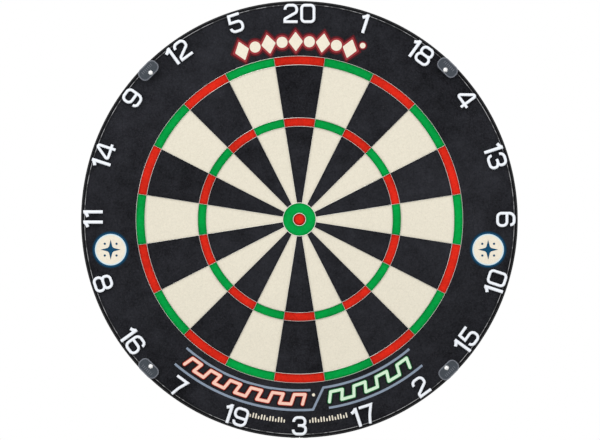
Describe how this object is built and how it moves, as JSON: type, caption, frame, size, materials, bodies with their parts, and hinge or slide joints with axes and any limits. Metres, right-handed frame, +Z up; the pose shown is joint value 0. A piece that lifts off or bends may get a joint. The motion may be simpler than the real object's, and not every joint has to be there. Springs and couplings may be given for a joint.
{
  "type": "dartboard",
  "caption": "Wall-hung round dartboard: dyed fibre beds parted by steel wire blades in a steel band, with a clipped wire number ring and a rear hub with levelling feet.",
  "frame": {"origin": "on the board's axis, in the rear face of the hub plate, where the hanging stud leaves it", "axes": "+Y along the board's axis towards the wall, so the face looks along -Y; +Z up through segment 20; +X to the player's right"},
  "size_m": [0.453, 0.065, 0.4535],
  "materials": {
    "band_black": "satin black enamel on rolled steel",
    "sisal_black": "dyed compressed sisal fibre, matt",
    "sisal_cream": "natural pale compressed sisal fibre, matt",
    "sisal_red": "dyed compressed sisal fibre, matt",
    "sisal_green": "dyed compressed sisal fibre, matt",
    "sisal_raw": "undyed compressed sisal fibre",
    "chipboard": "sanded chipboard",
    "wire_steel": "bright drawn steel",
    "hoop_steel": "black-painted steel strip, worn bright along its crest",
    "numeral_white": "white enamel on steel wire",
    "clip_smoke": "smoke-grey moulded plastic",
    "pin_nickel": "nickel-plated steel",
    "zinc_steel": "bright zinc plate",
    "foot_plastic": "moulded black plastic"
  },
  "bodies": {
    "board": {"steel_band": "band_black", "band_strap": "zinc_steel", "band_rivets": "band_black", "backboard": "chipboard", "sisal_core": "sisal_raw", "sisal_surround": "sisal_black", "hub_plate": "zinc_steel", "hub_screws": "zinc_steel", "hub_bush": "zinc_steel", "hanging_stud": "zinc_steel", "double_beds_red": "sisal_red", "double_beds_green": "sisal_green", "outer_singles_black": "sisal_black", "outer_singles_cream": "sisal_cream", "treble_beds_red": "sisal_red", "treble_beds_green": "sisal_green", "inner_singles_black": "sisal_black", "inner_singles_cream": "sisal_cream", "outer_bull_bed": "sisal_green", "bullseye_bed": "sisal_red", "double_outer_wire": "wire_steel", "double_inner_wire": "wire_steel", "treble_outer_wire": "wire_steel", "treble_inner_wire": "wire_steel", "outer_bull_wire": "wire_steel", "bull_wire": "wire_steel", "radial_blades": "wire_steel", "foot_bracket_1": "zinc_steel", "foot_axle_1": "zinc_steel", "foot_bracket_2": "zinc_steel", "foot_axle_2": "zinc_steel", "foot_bracket_3": "zinc_steel", "foot_axle_3": "zinc_steel", "foot_screws": "zinc_steel"},
    "number_ring": {"number_hoop": "hoop_steel", "numerals": "numeral_white"},
    "pin_1": {"clip_pin_1": "pin_nickel"},
    "clip_1": {"ring_clip_1": "clip_smoke"},
    "pin_2": {"clip_pin_2": "pin_nickel"},
    "clip_2": {"ring_clip_2": "clip_smoke"},
    "pin_3": {"clip_pin_3": "pin_nickel"},
    "clip_3": {"ring_clip_3": "clip_smoke"},
    "pin_4": {"clip_pin_4": "pin_nickel"},
    "clip_4": {"ring_clip_4": "clip_smoke"},
    "foot_1": {"foot_wheel_1": "foot_plastic"},
    "foot_2": {"foot_wheel_2": "foot_plastic"},
    "foot_3": {"foot_wheel_3": "foot_plastic"}
  },
  "joints": [
    {"name": "number_ring_turn", "type": "hinge", "parent": "board", "child": "number_ring", "pos_m": [0, -0.0425, 0], "axis": [0, 1, 0], "range_deg": [-3.5, 3.5]},
    {"name": "pin_1_pull", "type": "slide", "parent": "board", "child": "pin_1", "axis": [0, -1, 0], "range_m": [0, 0.025]},
    {"name": "clip_1_swivel", "type": "hinge", "parent": "pin_1", "child": "clip_1", "pos_m": [0.15121, -0.04615, 0.15495], "axis": [0, -1, 0], "range_deg": [0, 180]},
    {"name": "pin_2_pull", "type": "slide", "parent": "board", "child": "pin_2", "axis": [0, -1, 0], "range_m": [0, 0.025]},
    {"name": "clip_2_swivel", "type": "hinge", "parent": "pin_2", "child": "clip_2", "pos_m": [0.15242, -0.04615, -0.15376], "axis": [0, -1, 0], "range_deg": [0, 180]},
    {"name": "pin_3_pull", "type": "slide", "parent": "board", "child": "pin_3", "axis": [0, -1, 0], "range_m": [0, 0.025]},
    {"name": "clip_3_swivel", "type": "hinge", "parent": "pin_3", "child": "clip_3", "pos_m": [-0.15402, -0.04615, -0.15215], "axis": [0, -1, 0], "range_deg": [0, 180]},
    {"name": "pin_4_pull", "type": "slide", "parent": "board", "child": "pin_4", "axis": [0, -1, 0], "range_m": [0, 0.025]},
    {"name": "clip_4_swivel", "type": "hinge", "parent": "pin_4", "child": "clip_4", "pos_m": [-0.15415, -0.04615, 0.15202], "axis": [0, -1, 0], "range_deg": [0, 180]},
    {"name": "foot_1_turn", "type": "hinge", "parent": "board", "child": "foot_1", "pos_m": [0.1299, 0.0105, 0.075], "axis": [0.5, 0, -0.866], "range_deg": [0, 180]},
    {"name": "foot_2_turn", "type": "hinge", "parent": "board", "child": "foot_2", "pos_m": [0, 0.0105, -0.15], "axis": [-1, 0, 0], "range_deg": [0, 180]},
    {"name": "foot_3_turn", "type": "hinge", "parent": "board", "child": "foot_3", "pos_m": [-0.1299, 0.0105, 0.075], "axis": [0.5, 0, 0.866], "range_deg": [0, 180]}
  ]
}
